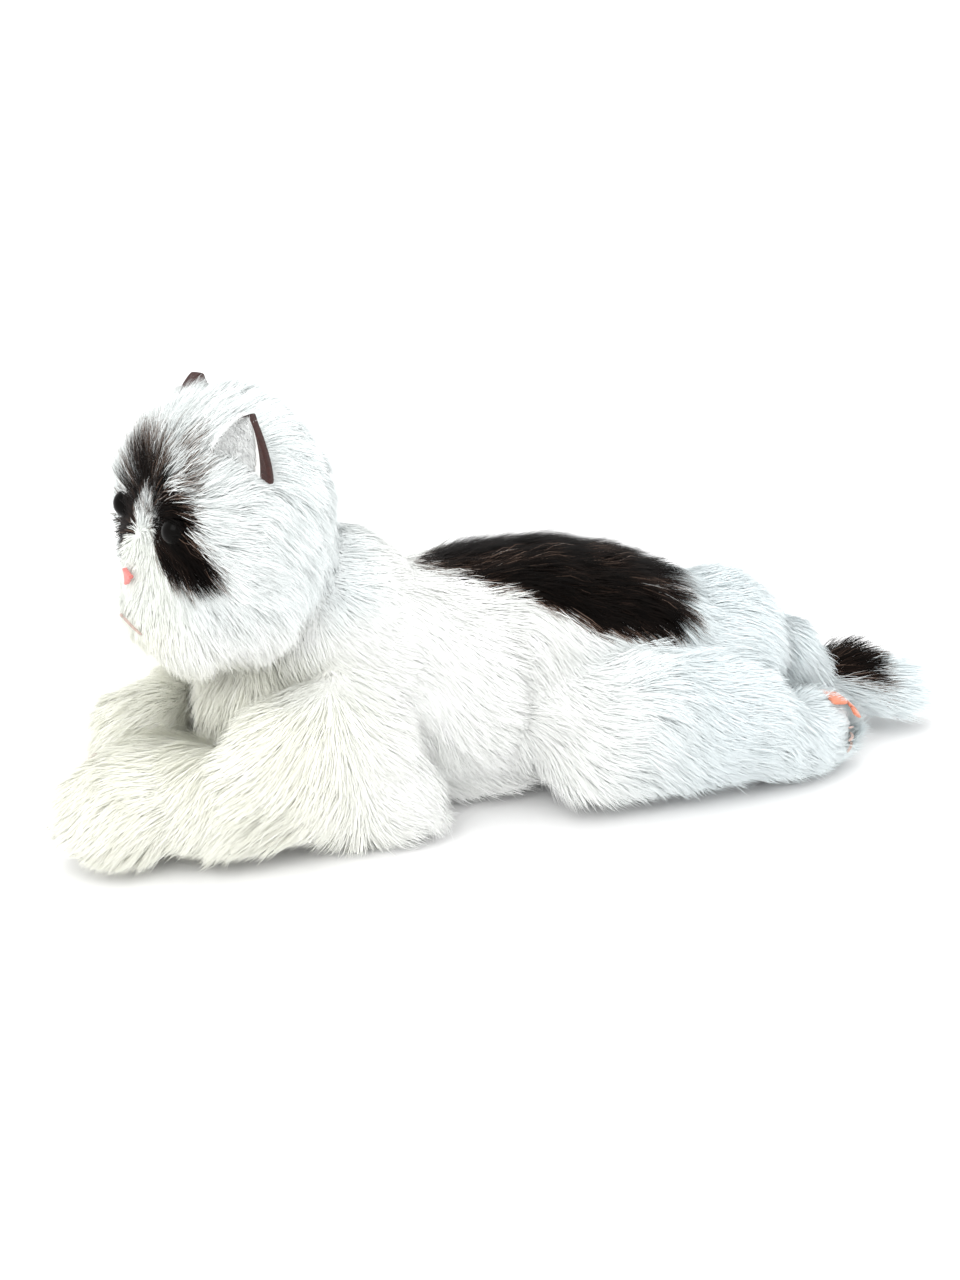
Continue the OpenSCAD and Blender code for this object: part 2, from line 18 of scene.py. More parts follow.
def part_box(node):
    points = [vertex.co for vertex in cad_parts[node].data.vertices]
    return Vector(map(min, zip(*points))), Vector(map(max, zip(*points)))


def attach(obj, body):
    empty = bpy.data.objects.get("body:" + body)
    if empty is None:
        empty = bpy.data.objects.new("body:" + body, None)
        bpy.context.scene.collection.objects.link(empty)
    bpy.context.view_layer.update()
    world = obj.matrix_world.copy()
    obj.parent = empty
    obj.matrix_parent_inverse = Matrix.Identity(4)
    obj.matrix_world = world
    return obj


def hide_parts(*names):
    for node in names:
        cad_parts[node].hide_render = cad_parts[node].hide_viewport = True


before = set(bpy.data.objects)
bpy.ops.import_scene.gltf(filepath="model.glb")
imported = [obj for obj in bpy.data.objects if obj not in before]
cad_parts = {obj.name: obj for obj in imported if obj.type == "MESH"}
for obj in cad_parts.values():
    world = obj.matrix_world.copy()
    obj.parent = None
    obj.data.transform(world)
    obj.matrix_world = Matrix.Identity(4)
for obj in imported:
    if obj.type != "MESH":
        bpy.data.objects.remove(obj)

bl_info = {
    "name": "Plush Cat",
    "version": (1, 0, 0),
    "blender": (4, 5, 0),
    "location": "View3D > Sidebar > Plush Cat",
    "description": "Sews and furs a lying plush cat round its packed frame",
    "category": "Object",
}

MM = 0.001
HEAD_CENTRE = np.array([0.0, -118.0, 128.0])
FACE_TURN = math.radians(18)
FACE_AHEAD = np.array([math.sin(FACE_TURN), -math.cos(FACE_TURN), 0.0])
FACE_LEFT = np.array([math.cos(FACE_TURN), math.sin(FACE_TURN), 0.0])
NOSE_BRIDGE = HEAD_CENTRE + FACE_AHEAD * 59 + (0, 0, 22)
MUZZLE = HEAD_CENTRE + FACE_AHEAD * 59 + (0, 0, -6)
# The masks by height in millimetres: the angles of their inner and outer edges, in degrees.
MASK_MIDDLE = 3.5
MASK_HEIGHTS = (129, 135, 143, 151, 160, 172, 183, 190, 200)
MASK_INNER = (27, 22, 16, 12, 9, 5, -3, -4, -4)
MASK_OUTER = (32, 39, 43, 38, 34, 29, 22, 17, 16)
# The stuffing of each body, and how far its hide is let out over it, in millimetres.
STUFFING = {
    "torso": ("torso_stuffing", 11.0),
    "neck": ("neck_stuffing", 3.0),
    "head": ("head_stuffing", 5.0),
    "foreleg_left": ("foreleg_stuffing_left", 5.0),
    "foreleg_right": ("foreleg_stuffing_right", 5.0),
    "hindleg_left": ("hindleg_stuffing_left", 5.0),
    "hindleg_right": ("hindleg_stuffing_right", 5.0),
    "tail_base": ("tail_base_stuffing", 3.0),
    "tail_end": ("tail_stuffing", 3.0),
}
BODIES = list(STUFFING)
# Pillows that fill the joins of the stuffing: centre and half sizes, in millimetres.
PILLOWS = {
    "torso": [
        ((0, -84, 92), (40, 42, 46)),
        ((0, 130, 48), (15, 26, 22)),
        ((0, 106, 60), (38, 36, 32)),
        ((12, -22, 18), (24, 52, 16)),
        ((-12, -22, 18), (24, 52, 16)),
        ((0, -121, 56), (32, 25, 32)),
    ],
    "head": [
        (HEAD_CENTRE + FACE_AHEAD * 42 + (0, 0, -16), (24, 24, 20)),
        (HEAD_CENTRE + FACE_AHEAD * 51 + (0, 0, 6), (11, 13, 22)),
        (HEAD_CENTRE + FACE_AHEAD * 42 - FACE_LEFT * 11 + (0, 0, -6), (16, 18, 18)),
        (HEAD_CENTRE + FACE_AHEAD * 42 + FACE_LEFT * 11 + (0, 0, -6), (16, 18, 18)),
    ],
    "foreleg_left": [
        ((37, -192, 27), (25, 29, 24)),
        ((46, -98, 48), (16, 40, 34)),
        ((54, -76, 25), (15, 28, 24)),
    ],
    "foreleg_right": [((-46, -98, 48), (16, 40, 34)), ((-54, -76, 25), (15, 28, 24))],
    "hindleg_left": [((46, 58, 42), (16, 62, 32))],
    "hindleg_right": [((-46, 58, 42), (16, 62, 32))],
}
VOXEL = 0.004
PILE_ROUNDS = 10
HIDE_ROUNDS = 6
# Spacing of the wide and the fine locks, in millimetres.
WIDE_LOCK = 14.0
FINE_LOCK = 4.2
# Half sizes of the clipped part of the muzzle and of the nose bridge, in millimetres.
MUZZLE_HALF = (22, 18, 22)
BRIDGE_HALF = (9, 14, 20)


def colour(name, default, description):
    """A colour property in linear light."""
    return FloatVectorProperty(
        name=name, description=description, default=default, subtype="COLOR", size=3, min=0, max=1
    )


def length(name, default, description):
    """A length property in metres."""
    return FloatProperty(
        name=name, description=description, default=default, min=0, unit="LENGTH", precision=4
    )


class PileSettings(bpy.types.PropertyGroup):
    body_length: length("Body pile", 0.019, "Length of the strands on the trunk and legs")
    head_length: length("Head pile", 0.021, "Length of the strands on the head")
    short_length: length("Short pile", 0.008, "Length of the clipped strands on the muzzle")
    strand_width: length("Strand width", 0.00033, "Width of one strand at its root")
    density: FloatProperty(
        name="Density",
        description="Strands for each square millimetre of trunk",
        default=1.3,
        min=0.05,
    )
    seed: IntProperty(name="Seed", description="Start of the random draws", default=11)
    white: colour("White", (0.94, 0.955, 0.945), "White pile")
    cream: colour("Cream", (0.945, 0.948, 0.86), "Warm white of the forelegs and the face")
    # This bluish white is darker than the white: it is painted shade on the back, the rear and the head.
    cool_shade: colour("Cool white", (0.79, 0.855, 0.872), "Cool white of the back and the rear")
    taupe: colour("Taupe", (0.18, 0.12, 0.09), "Soft edge of the dark patches")
    brown: colour("Brown", (0.020, 0.012, 0.009), "Middle of the dark patches")
    dark: colour("Dark", (0.002, 0.0018, 0.0016), "Darkest strands")


class EarSettings(bpy.types.PropertyGroup):
    cup: length("Cup", 0.005, "How far the ear's front is hollowed")
    thickness: length("Thickness", 0.0040, "Thickness of the velvet rim")
    velvet: colour("Velvet", (0.055, 0.016, 0.012), "Reddish brown back of the ears")


class SewingSettings(bpy.types.PropertyGroup):
    nose: colour("Nose", (0.85, 0.24, 0.21), "Pink yarn of the nose")
    pad: colour("Pads", (0.78, 0.25, 0.13), "Salmon felt of the toe pads")
    thread: colour("Thread", (0.62, 0.46, 0.40), "Thread of the mouth and toes")
    eye: colour("Eye", (0.0015, 0.0012, 0.001), "Dark eye plastic")


class StageSettings(bpy.types.PropertyGroup):
    floor: colour("Floor", (0.95, 0.95, 0.95), "Pale floor")
    distance: length("Camera distance", 1.0, "From the camera to the middle of the cat")
    azimuth: FloatProperty(
        name="Azimuth",
        description="Camera angle round the cat",
        default=math.radians(72.1),
        subtype="ANGLE",
    )
    elevation: FloatProperty(
        name="Elevation",
        description="Camera angle above the floor",
        default=math.radians(22.6),
        subtype="ANGLE",
    )
    lens: FloatProperty(name="Lens", description="Focal length in millimetres", default=58.6)


# --- node helpers -------------------------------------------------------------------------------


def new_material(name):
    """An empty node material with its Principled node."""
    material = bpy.data.materials.new(name)
    material.use_nodes = True
    return material, material.node_tree.nodes["Principled BSDF"]


def darker(base, share):
    """A colour at some share of its brightness."""
    return tuple(share * c for c in base)


def pile_material():
    """Long pile: the strand colours carry the patches, and the fibre has a soft sheen."""
    material, shader = new_material("long_pile")
    nodes, links = material.node_tree.nodes, material.node_tree.links
    tint = nodes.new("ShaderNodeAttribute")
    tint.attribute_name = "pile_colour"
    links.new(tint.outputs["Color"], shader.inputs["Base Color"])
    shader.inputs["Roughness"].default_value = 0.55
    shader.inputs["Sheen Weight"].default_value = 0.02
    shader.inputs["Sheen Roughness"].default_value = 0.4
    shader.inputs["Specular IOR Level"].default_value = 0.04
    return material


def cloth_material(name, base, dark, scale, bump, roughness=0.9, sheen=0.3):
    """A woven or felted cloth: mottled colour and a fine fibre bump, from object coordinates."""
    material, shader = new_material(name)
    nodes, links = material.node_tree.nodes, material.node_tree.links
    place = nodes.new("ShaderNodeTexCoord")
    noise = nodes.new("ShaderNodeTexNoise")
    noise.inputs["Scale"].default_value = scale
    noise.inputs["Detail"].default_value = 6
    noise.inputs["Roughness"].default_value = 0.7
    links.new(place.outputs["Object"], noise.inputs["Vector"])
    ramp = nodes.new("ShaderNodeValToRGB")
    ramp.color_ramp.elements[0].position, ramp.color_ramp.elements[1].position = 0.3, 0.7
    ramp.color_ramp.elements[0].color = (*dark, 1)
    ramp.color_ramp.elements[1].color = (*base, 1)
    links.new(noise.outputs["Fac"], ramp.inputs["Fac"])
    links.new(ramp.outputs["Color"], shader.inputs["Base Color"])
    fibre = nodes.new("ShaderNodeTexNoise")
    fibre.inputs["Scale"].default_value = scale * 3
    fibre.inputs["Detail"].default_value = 4
    links.new(place.outputs["Object"], fibre.inputs["Vector"])
    relief = nodes.new("ShaderNodeBump")
    relief.inputs["Strength"].default_value = 0.6
    relief.inputs["Distance"].default_value = bump
    links.new(fibre.outputs["Fac"], relief.inputs["Height"])
    links.new(relief.outputs["Normal"], shader.inputs["Normal"])
    shader.inputs["Roughness"].default_value = roughness
    shader.inputs["Sheen Weight"].default_value = sheen
    return material


def hide_material():
    """The knitted backing under the pile, in the colour of the pile that grows on it."""
    material, shader = new_material("knit_backing")
    nodes, links = material.node_tree.nodes, material.node_tree.links
    tint = nodes.new("ShaderNodeAttribute")
    tint.attribute_name = "pile_colour"
    links.new(tint.outputs["Color"], shader.inputs["Base Color"])
    place = nodes.new("ShaderNodeTexCoord")
    knit = nodes.new("ShaderNodeTexNoise")
    knit.inputs["Scale"].default_value = 900
    links.new(place.outputs["Object"], knit.inputs["Vector"])
    relief = nodes.new("ShaderNodeBump")
    relief.inputs["Strength"].default_value = 0.7
    relief.inputs["Distance"].default_value = 0.0005
    links.new(knit.outputs["Fac"], relief.inputs["Height"])
    links.new(relief.outputs["Normal"], shader.inputs["Normal"])
    shader.inputs["Roughness"].default_value = 0.95
    shader.inputs["Sheen Weight"].default_value = 0.3
    return material


def eye_material(base):
    """Clear-coated dark plastic with a slightly lighter cloud in it."""
    material, shader = new_material("eye_plastic")
    nodes, links = material.node_tree.nodes, material.node_tree.links
    place = nodes.new("ShaderNodeTexCoord")
    cloud = nodes.new("ShaderNodeTexNoise")
    cloud.inputs["Scale"].default_value = 140
    links.new(place.outputs["Object"], cloud.inputs["Vector"])
    ramp = nodes.new("ShaderNodeValToRGB")
    ramp.color_ramp.elements[0].color = (*darker(base, 0.4), 1)
    ramp.color_ramp.elements[1].color = (*darker(base, 2.2), 1)
    links.new(cloud.outputs["Fac"], ramp.inputs["Fac"])
    links.new(ramp.outputs["Color"], shader.inputs["Base Color"])
    shader.inputs["Roughness"].default_value = 0.2
    shader.inputs["Specular IOR Level"].default_value = 0.04
    shader.inputs["Coat Weight"].default_value = 0.06
    shader.inputs["Coat Roughness"].default_value = 0.08
    return material


# --- mesh helpers -------------------------------------------------------------------------------


def node_arrays(node):
    """A CAD node's vertices and triangles, in metres."""
    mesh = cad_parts[node].data
    mesh.calc_loop_triangles()
    points = np.empty(len(mesh.vertices) * 3, np.float32)
    mesh.vertices.foreach_get("co", points)
    corners = np.empty(len(mesh.loop_triangles) * 3, np.int32)
    mesh.loop_triangles.foreach_get("vertices", corners)
    return points.reshape(-1, 3).astype(float), corners.reshape(-1, 3)


def pillow(centre, half):
    """An ellipsoid of stuffing, in millimetres, as vertices and triangles in metres."""
    rings, steps = 12, 24
    points = [(0, 0, 1)]
    for i in range(1, rings):
        a = math.pi * i / rings
        for j in range(steps):
            b = 2 * math.pi * j / steps
            points.append((math.sin(a) * math.cos(b), math.sin(a) * math.sin(b), math.cos(a)))
    points.append((0, 0, -1))
    last = len(points) - 1
    faces = []
    for j in range(steps):
        k = (j + 1) % steps
        faces.append((0, 1 + j, 1 + k))
        faces.append((last, last - steps + k, last - steps + j))
        for i in range(rings - 2):
            a, b = 1 + i * steps, 1 + (i + 1) * steps
            faces.append((a + j, b + j, b + k))
            faces.append((a + j, b + k, a + k))
    return (np.array(points) * half + np.array(centre)) * MM, np.array(faces)


def swollen(node, amount):
    """A CAD node's shape, let out by some millimetres along its own normals."""
    points, faces = node_arrays(node)
    keys, index = np.unique(np.round(points, 6), axis=0, return_inverse=True)
    faces = index.reshape(-1)[faces]
    a, b, c = (keys[faces[:, i]] for i in range(3))
    facing = np.cross(b - a, c - a)
    normals = np.zeros_like(keys)
    for i in range(3):
        np.add.at(normals, faces[:, i], facing)
    return keys + unit(normals) * amount * MM, faces


def new_object(name, mesh):
    """A mesh object linked to the scene."""
    thing = bpy.data.objects.new(name, mesh)
    bpy.context.scene.collection.objects.link(thing)
    return thing


def apply_modifiers(thing):
    """Give an object the mesh that its modifiers make, shaded smooth."""
    view = bpy.context.evaluated_depsgraph_get()
    thing.data = bpy.data.meshes.new_from_object(thing.evaluated_get(view))
    thing.modifiers.clear()
    for polygon in thing.data.polygons:
        polygon.use_smooth = True


def joined(parts):
    """The vertices and the faces of several parts, as two lists."""
    points, faces, start = [], [], 0
    for part_points, part_faces in parts:
        points.append(part_points)
        faces.append(part_faces + start)
        start += len(part_points)
    return np.concatenate(points).tolist(), np.concatenate(faces).tolist()


def soft_form(name, parts, rounds):
    """One closed, rounded form round the given parts: remeshed, then relaxed."""
    points, faces = joined(parts)
    mesh = bpy.data.meshes.new(name)
    mesh.from_pydata(points, [], faces)
    form = new_object(name, mesh)
    remesh = form.modifiers.new("Remesh", "REMESH")
    remesh.mode = "VOXEL"
    remesh.voxel_size = VOXEL
    relax = form.modifiers.new("Relax", "SMOOTH")
    relax.factor = 0.5
    relax.iterations = rounds
    apply_modifiers(form)
    bpy.data.meshes.remove(mesh)
    return form


def paint(mesh, colours):
    """Store the pile's colour at each vertex."""
    attribute = mesh.color_attributes.new("pile_colour", "FLOAT_COLOR", "POINT")
    full = np.concatenate([colours, np.ones((len(colours), 1))], axis=1)
    attribute.data.foreach_set("color", full.astype(np.float32).ravel())


def mesh_arrays(mesh):
    """Vertices, vertex normals and triangles of a mesh."""
    mesh.calc_loop_triangles()
    points = np.empty(len(mesh.vertices) * 3, np.float32)
    mesh.vertices.foreach_get("co", points)
    normals = np.empty(len(mesh.vertices) * 3, np.float32)
    mesh.vertices.foreach_get("normal", normals)
    corners = np.empty(len(mesh.loop_triangles) * 3, np.int32)
    mesh.loop_triangles.foreach_get("vertices", corners)
    return (
        points.reshape(-1, 3).astype(float),
        normals.reshape(-1, 3).astype(float),
        corners.reshape(-1, 3),
    )


def unit(v):
    """Vectors of length one."""
    return v / np.maximum(np.linalg.norm(v, axis=-1, keepdims=True), 1e-9)


def smooth_step(x, low, high):
    """0 below low, 1 above high, and a soft ramp between."""
    t = np.clip((x - low) / (high - low), 0, 1)
    return t * t * (3 - 2 * t)


def waves(points, length_mm, seed):
    """A smooth three-way noise from a few sine waves; points in millimetres."""
    draw = np.random.default_rng(seed)
    total = np.zeros_like(points)
    for _ in range(5):
        k = unit(draw.normal(size=3)) * 2 * math.pi / (length_mm * draw.uniform(0.7, 1.5))
        total += np.sin(points @ k + draw.uniform(0, 6.3))[:, None] * draw.normal(size=3)
    return total / 2.2


# --- where the colours and the nap lie ---------------------------------------------------------


def face_angles(p):
    """Sideways angle from the middle of the face, in degrees; points in millimetres."""
    q = p - HEAD_CENTRE
    return np.degrees(np.arctan2(q @ FACE_LEFT, q @ FACE_AHEAD))


def mask_shade(p):
    """How dark the masks and the forehead are, from 0 to 1."""
    away = np.abs(face_angles(p) - MASK_MIDDLE)
    z = p[:, 2]
    inner = np.interp(z, MASK_HEIGHTS, MASK_INNER)
    outer = np.interp(z, MASK_HEIGHTS, MASK_OUTER)
    core = smooth_step(away, inner - 2.5, inner + 2.5)
    core = core * (1 - smooth_step(away, outer - 4, outer + 8))
    core = core * smooth_step(z, 127, 137) * (1 - smooth_step(z, 186, 201))
    forehead = 0.5 * (1 - smooth_step(away, 18, 34)) * smooth_step(z, 178, 187)
    forehead = forehead * (1 - smooth_step(z, 190, 205))
    blaze = 0.30 * (1 - smooth_step(away, inner - 3, inner)) * smooth_step(z, 158, 168)
    blaze = blaze * (1 - smooth_step(z, 182, 192))
    haze = 0.3 * np.exp(-(((away - 31) / 6) ** 2) - (((z - 186) / 7) ** 2))
    ahead = (p - HEAD_CENTRE) @ FACE_AHEAD > 0
    return np.where(ahead, np.max([core, forehead, blaze, haze], axis=0), 0)


def saddle_shade(p):
    """How dark the patch on the back is, from 0 to 1."""
    along = p[:, 1]
    lean = np.degrees(np.arctan2(np.abs(p[:, 0]), p[:, 2] - 60))
    edge = np.interp(along, [-38, -28, -10, 5, 21, 43, 64, 92], [0, 15, 29, 42, 51, 61, 68, 66])
    inside = 1 - smooth_step(lean, edge - 6, edge + 5)
    ends = smooth_step(along, -38, -24) * (1 - smooth_step(along, 84, 96))
    return inside * ends


def tail_shade(p, n):
    """How dark the patch on the tail is, from 0 to 1."""
    along = smooth_step(p[:, 1], 178, 187) * (1 - smooth_step(p[:, 1], 200, 210))
    return along * smooth_step(n[:, 2], 0.05, 0.55)


def shade_at(p, n, body):
    """Darkness of the pile at each point; p in millimetres."""
    shade = np.zeros(len(p))
    for name, found in (
        ("head", mask_shade(p)),
        ("torso", saddle_shade(p)),
        ("tail_end", tail_shade(p, n)),
    ):
        shade = np.where(body == BODIES.index(name), found, shade)
    return shade


def nap(p, n, body):
    """The way that the pile lies at each point, along the surface."""
    lie = np.zeros_like(p)
    side = np.clip(p[:, 0] / 45, -1, 1)

    def put(name, value):
        rows = body == BODIES.index(name)
        lie[rows] = value[rows]

    down = np.zeros_like(p) + (0, 0, -1.0)
    back = np.zeros_like(p) + (0, 1.0, 0)
    trunk = back + down * (0.15 + 0.75 * np.abs(side)[:, None])
    front = smooth_step(-p[:, 1], 92, 130)[:, None]
    put("torso", trunk * (1 - front) + (down + 0.25 * back) * front)
    put("neck", down * 0.75 + back * 0.65)
    from_nose = unit(p - NOSE_BRIDGE)
    cheek = smooth_step(np.abs(face_angles(p) - MASK_MIDDLE), 38, 65)
    cheek = cheek * smooth_step(185 - p[:, 2], 0, 20)
    fall = 0.25 + 0.55 * smooth_step(150 - p[:, 2], 0, 45) + 0.7 * cheek
    head = from_nose + down * fall[:, None]
    head = head + back * (0.35 * smooth_step(p[:, 2], 185, 205))[:, None]
    put("head", head)
    for name in ("foreleg_left", "foreleg_right"):
        ahead = smooth_step(-p[:, 1], 70, 120)[:, None]
        put(name, -back * ahead + down * 0.55 + back * (1 - ahead) * 0.7)
    for name in ("hindleg_left", "hindleg_right"):
        put(name, back + down * 0.45)
    put("tail_base", back * 0.7 + down * 0.7)
    put("tail_end", back + (0.2, 0, 0))
    lie = lie + 0.28 * waves(p, 55, 5)
    lie = lie - n * np.sum(lie * n, axis=1, keepdims=True)
    return unit(lie)


def pile_length(p, n, body, settings):
    """Strand length at each point, in millimetres."""
    size = np.full(len(p), settings.body_length * 1000)
    head = body == BODIES.index("head")
    away = np.linalg.norm((p - MUZZLE) / MUZZLE_HALF, axis=1)
    bridge = np.linalg.norm((p - NOSE_BRIDGE) / BRIDGE_HALF, axis=1)
    clipped = 1 - smooth_step(np.minimum(away, bridge), 0.9, 1.45)
    long = settings.head_length * 1000 * (1 - 0.30 * smooth_step(p[:, 1], -125, -95))
    size = np.where(head, long * (1 - clipped) + settings.short_length * 1000 * clipped, size)
    for side in ("left", "right"):
        low, high = (np.array(c) * 1000 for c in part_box("eye_" + side))
        gap = np.linalg.norm(p - (low + high) / 2, axis=1)
        size = np.where(head, size * (1 + 0.1 * smooth_step(14 - gap, 0, 6)), size)
        sole_low, sole_high = (np.array(c) * 1000 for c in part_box("sole_" + side))
        on_sole = (body == BODIES.index("hindleg_" + side)) & (n[:, 1] > 0.3) & (p[:, 2] > 18)
        on_sole &= p[:, 1] > sole_low[1] - 4
        size = np.where(on_sole, 6.5, size)
    paws = (p[:, 1] < -165) & (p[:, 2] < 75)
    size = np.where(paws, size * (1 - 0.35 * smooth_step(-p[:, 1], 165, 200)), size)
    nape = (1 - smooth_step(p[:, 1], -45, -15)) * smooth_step(p[:, 2], 85, 100)
    size = np.where(head, size, size * (1 - 0.35 * nape))
    end = 1.25 + 0.2 * smooth_step(p[:, 1], 190, 205) - 0.7 * smooth_step(-n[:, 2], 0.1, 0.5)
    return np.where(body == BODIES.index("tail_end"), size * end, size)


# --- growing the pile ---------------------------------------------------------------------------


def sample_roots(points, normals, faces, labels, density, draw):
    """Roots scattered evenly over a form: place, normal and body of each; points in millimetres."""
    a, b, c = (points[faces[:, i]] for i in range(3))
    area = np.linalg.norm(np.cross(b - a, c - a), axis=1) / 2
    middle = (a + b + c) / 3
    weight = area * density(middle, labels[faces[:, 0]])
    count = int(weight.sum())
    total = np.cumsum(weight)
    where = (np.arange(count) + draw.uniform(size=count)) * total[-1] / count
    chosen = np.minimum(np.searchsorted(total, where), len(faces) - 1)
    u, v = draw.uniform(size=(2, count))
    flip = u + v > 1
    u, v = np.where(flip, 1 - u, u), np.where(flip, 1 - v, v)
    share = np.stack([1 - u - v, u, v], axis=1)
    corners = faces[chosen]
    place = (points[corners] * share[:, :, None]).sum(axis=1)
    facing = unit((normals[corners] * share[:, :, None]).sum(axis=1))
    return place, facing, labels[corners[:, 0]]


def locks(place, facing, spacing, draw):
    """The lock that each root belongs to, for locks about spacing millimetres apart."""
    inner = place - 5 * facing
    order = draw.permutation(len(place))
    taken, cells = [], set()
    for i, cell in enumerate(np.floor(inner[order] / spacing).astype(int).tolist()):
        if tuple(cell) not in cells:
            cells.add(tuple(cell))
            taken.append(order[i])
    tree = KDTree(len(taken))
    for i, root in enumerate(taken):
        tree.insert(inner[root], i)
    tree.balance()
    return np.array([tree.find(root)[1] for root in inner]), len(taken)


def mean_by_lock(values, lock, count):
    """The mean of the values in each lock."""
    flat = values.reshape(len(values), -1)
    members = np.bincount(lock, minlength=count).astype(float)
    total = np.stack([np.bincount(lock, flat[:, i], count) for i in range(flat.shape[1])], axis=1)
    return (total / np.maximum(members, 1)[:, None]).reshape((count, *values.shape[1:]))


def strand_curves(place, facing, lie, size, lift, droop):
    """Four points along each strand, from its root to its tip, in millimetres."""
    curve = [place]
    step = size[:, None] / 3
    for k in range(3):
        angle = lift * (1 - 0.30 * k)
        way = lie * np.cos(angle)[:, None] + facing * np.sin(angle)[:, None]
        way = unit(way + np.array([0, 0, -1.0]) * (droop * (k + 1) / 3)[:, None])
        curve.append(curve[-1] + way * step)
    return np.stack(curve, axis=1)


def ribbon_mesh(name, curve, facing, width, tint):
    """Flat tapered strands as one mesh. curve (n,4,3) in metres, tint (n,4,3)."""
    count = len(curve)
    way = unit(np.gradient(curve, axis=1))
    across = unit(np.cross(way, facing[:, None]))
    half = width[:, None, None] * np.array([1.0, 0.95, 0.72])[None, :, None] / 2
    left = curve[:, :3] - across[:, :3] * half
    right = curve[:, :3] + across[:, :3] * half
    points = np.concatenate([left, right, curve[:, 3:]], axis=1)
    base = (np.arange(count) * 7)[:, None]
    quads = np.concatenate(
        [base + np.array([i, i + 3, i + 4, i + 1]) for i in range(2)], axis=1
    ).reshape(-1, 4)
    tips = base + np.array([2, 5, 6])
    corners = np.concatenate([quads.ravel(), tips.ravel()]).astype(np.int32)
    starts = np.concatenate(
        [np.arange(len(quads)) * 4, len(quads) * 4 + np.arange(count) * 3]
    ).astype(np.int32)
    sizes = np.concatenate([np.full(len(quads), 4), np.full(count, 3)]).astype(np.int32)
    mesh = bpy.data.meshes.new(name)
    mesh.vertices.add(count * 7)
    mesh.vertices.foreach_set("co", points.astype(np.float32).ravel())
    mesh.loops.add(len(corners))
    mesh.loops.foreach_set("vertex_index", corners)
    mesh.polygons.add(len(starts))
    mesh.polygons.foreach_set("loop_start", starts)
    mesh.polygons.foreach_set("loop_total", sizes)
    mesh.update(calc_edges=True)
    shades = np.concatenate([tint[:, :3], tint[:, :3], tint[:, 3:]], axis=1).reshape(-1, 3)
    paint(mesh, shades)
    flat = facing[:, None] - way * np.sum(facing[:, None] * way, axis=2, keepdims=True)
    bent = unit(0.8 * facing[:, None] + 0.2 * unit(flat))
    soft = np.concatenate([bent[:, :3], bent[:, :3], bent[:, 3:]], axis=1).reshape(-1, 3)
    mesh.polygons.foreach_set("use_smooth", np.ones(len(starts), bool))
    mesh.normals_split_custom_set_from_vertices(soft.tolist())
    return mesh


def pile_names(p, n, body, shade):
    """The piece that each strand is sewn in with."""
    names = np.full(len(p), "side_pile_left", dtype=object)
    left = p[:, 0] >= 0
    torso = body == BODIES.index("torso")
    names[torso & ~left] = "side_pile_right"
    names[torso & (p[:, 1] < -108) & (n[:, 1] < -0.45)] = "chest_pile"
    names[torso & (p[:, 1] > 112)] = "rump_pile"
    names[torso & (n[:, 2] < -0.6)] = "belly_pile"
    names[torso & (shade > 0.3)] = "saddle_pile"
    names[body == BODIES.index("neck")] = "neck_pile"
    head = body == BODIES.index("head")
    angle = face_angles(p)
    names[head] = "crown_pile"
    names[head & (angle > 0) & (angle < 110) & (p[:, 2] < 180)] = "cheek_pile_left"
    names[head & (angle <= 0) & (angle > -110) & (p[:, 2] < 180)] = "cheek_pile_right"
    names[head & (np.abs(angle) < 80) & (p[:, 2] < 112)] = "throat_pile"
    near_nose = np.linalg.norm((p - MUZZLE) / MUZZLE_HALF, axis=1) < 1.15
    names[head & near_nose] = "muzzle_pile"
    dark = head & (shade > 0.3)
    names[dark & (angle >= MASK_MIDDLE)] = "mask_pile_left"
    names[dark & (angle < MASK_MIDDLE)] = "mask_pile_right"
    between = head & (np.abs(angle - MASK_MIDDLE) < 12)
    names[between & (p[:, 2] > 140) & (p[:, 2] < 184)] = "blaze_pile"
    for side in ("left", "right"):
        fore = body == BODIES.index("foreleg_" + side)
        names[fore] = "foreleg_pile_" + side
        names[fore & (p[:, 1] < -162)] = "paw_pile_" + side
        hind = body == BODIES.index("hindleg_" + side)
        names[hind] = "thigh_pile_" + side
        names[hind & (p[:, 1] > 128)] = "foot_pile_" + side
        names[hind & (p[:, 1] > 143) & (n[:, 1] > 0.3) & (p[:, 2] > 18)] = "sole_pile_" + side
    names[body == BODIES.index("tail_base")] = "tail_base_pile"
    end = body == BODIES.index("tail_end")
    names[end] = "tail_tip_pile"
    names[end & (p[:, 1] < 178)] = "tail_bend_pile"
    names[end & (p[:, 1] < 199) & (p[:, 1] >= 178)] = "tail_pile"
    names[end & (shade > 0.3)] = "tail_patch_pile"
    return names


